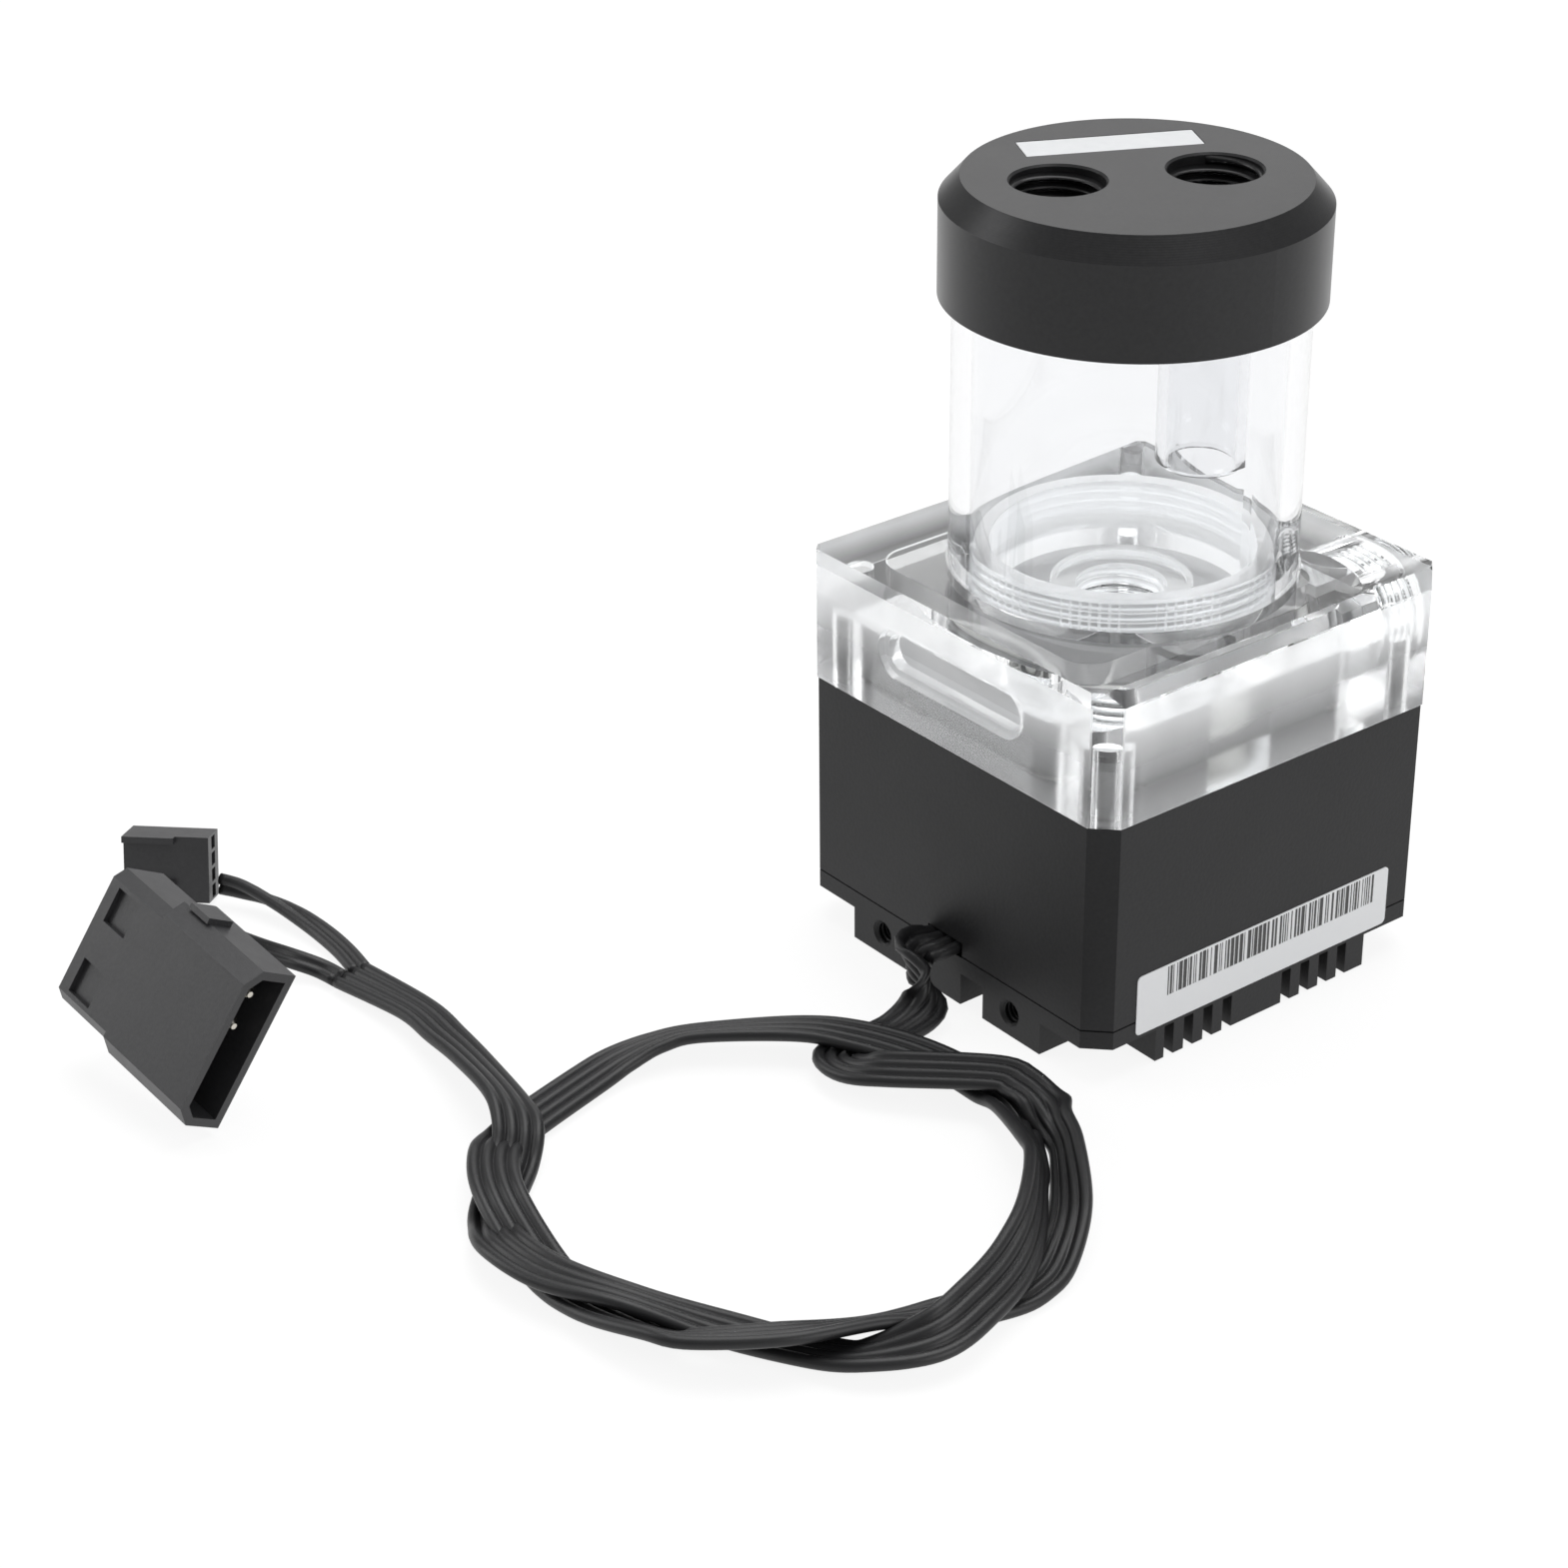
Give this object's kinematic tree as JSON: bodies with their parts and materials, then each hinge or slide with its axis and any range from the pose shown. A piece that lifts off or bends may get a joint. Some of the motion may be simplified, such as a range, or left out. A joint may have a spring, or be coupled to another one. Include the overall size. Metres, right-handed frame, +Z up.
{
  "type": "coolant pump reservoir",
  "caption": "Liquid cooling pump in a finned square base, with a clear pump block, a clear tube reservoir, a ported screw cap and a flat cable to a power plug and a fan connector.",
  "frame": {"origin": "on the tube's axis, at the height of the bottom of the fins, which is the standing surface", "axes": "+Z up along the tube; -Y is the face with the cable outlet and the two fixing holes; +X is the face with the label; the outlet port opens towards +Y"},
  "size_m": [0.1728, 0.1742, 0.118],
  "materials": {
    "anodised_black": "bead-blasted, anodised black",
    "cap_black": "turned, anodised black, satin top",
    "clear_acrylic": "polished clear acrylic",
    "clear_tube": "extruded clear acrylic",
    "silver_inlay": "fine satin, clear anodised",
    "white_label": "matt printed paper",
    "screw_steel": "black oxide",
    "core_steel": "stacked electrical sheet",
    "copper_coil": "enamelled winding wire",
    "board_green": "solder mask",
    "pad_grey": "soft silicone pad",
    "moulded_black": "glass-filled moulding",
    "seal_black": "moulded rubber",
    "seal_clear": "translucent silicone",
    "ceramic_white": "ground ceramic",
    "impeller_white": "natural moulding",
    "magnet_grey": "bonded ferrite",
    "bush_graphite": "carbon bearing",
    "wire_black": "soft flat ribbon insulation",
    "plug_black": "moulded nylon",
    "pin_tin": "tin plated",
    "contact_gold": "thin gold plate"
  },
  "bodies": {
    "pump": {"bottom_cover": "anodised_black", "housing_sleeve": "anodised_black", "cover_screws": "screw_steel", "thermal_pad": "pad_grey", "circuit_board": "board_green", "stator_core": "core_steel", "stator_coils": "copper_coil", "isolation_can": "moulded_black", "can_seal": "seal_clear", "bearing_shaft": "ceramic_white", "thrust_washer": "ceramic_white", "pump_casing": "moulded_black", "pump_top": "clear_acrylic", "tube_seal": "seal_clear", "reservoir_tube": "clear_tube", "rating_label": "white_label", "ribbon_cable": "wire_black", "power_tail": "wire_black", "signal_tail": "wire_black", "power_plug_shell": "plug_black", "power_plug_pins": "pin_tin", "fan_connector_shell": "plug_black", "fan_connector_contacts": "contact_gold"},
    "rotor": {"impeller": "impeller_white", "rotor_magnet": "magnet_grey", "rotor_bush": "bush_graphite"},
    "lift": {"cap_seal": "seal_black"},
    "cap": {"reservoir_cap": "cap_black", "cap_inlay": "silver_inlay", "return_tube": "clear_tube"}
  },
  "joints": [
    {"name": "rotor_spin", "type": "hinge", "parent": "pump", "child": "rotor", "pos_m": [0, 0, 0], "axis": [0, 0, 1], "continuous": true},
    {"name": "cap_lift", "type": "slide", "parent": "pump", "child": "lift", "axis": [0, 0, 1], "range_m": [0, 0.0079]},
    {"name": "cap_turn", "type": "hinge", "parent": "lift", "child": "cap", "pos_m": [0, 0, 0], "axis": [0, 0, 1], "range_deg": [0, 1890]}
  ],
  "couplings": [
    {"joint": "cap_lift", "follows": "cap_turn", "m_per_rad": 0.00023873}
  ]
}
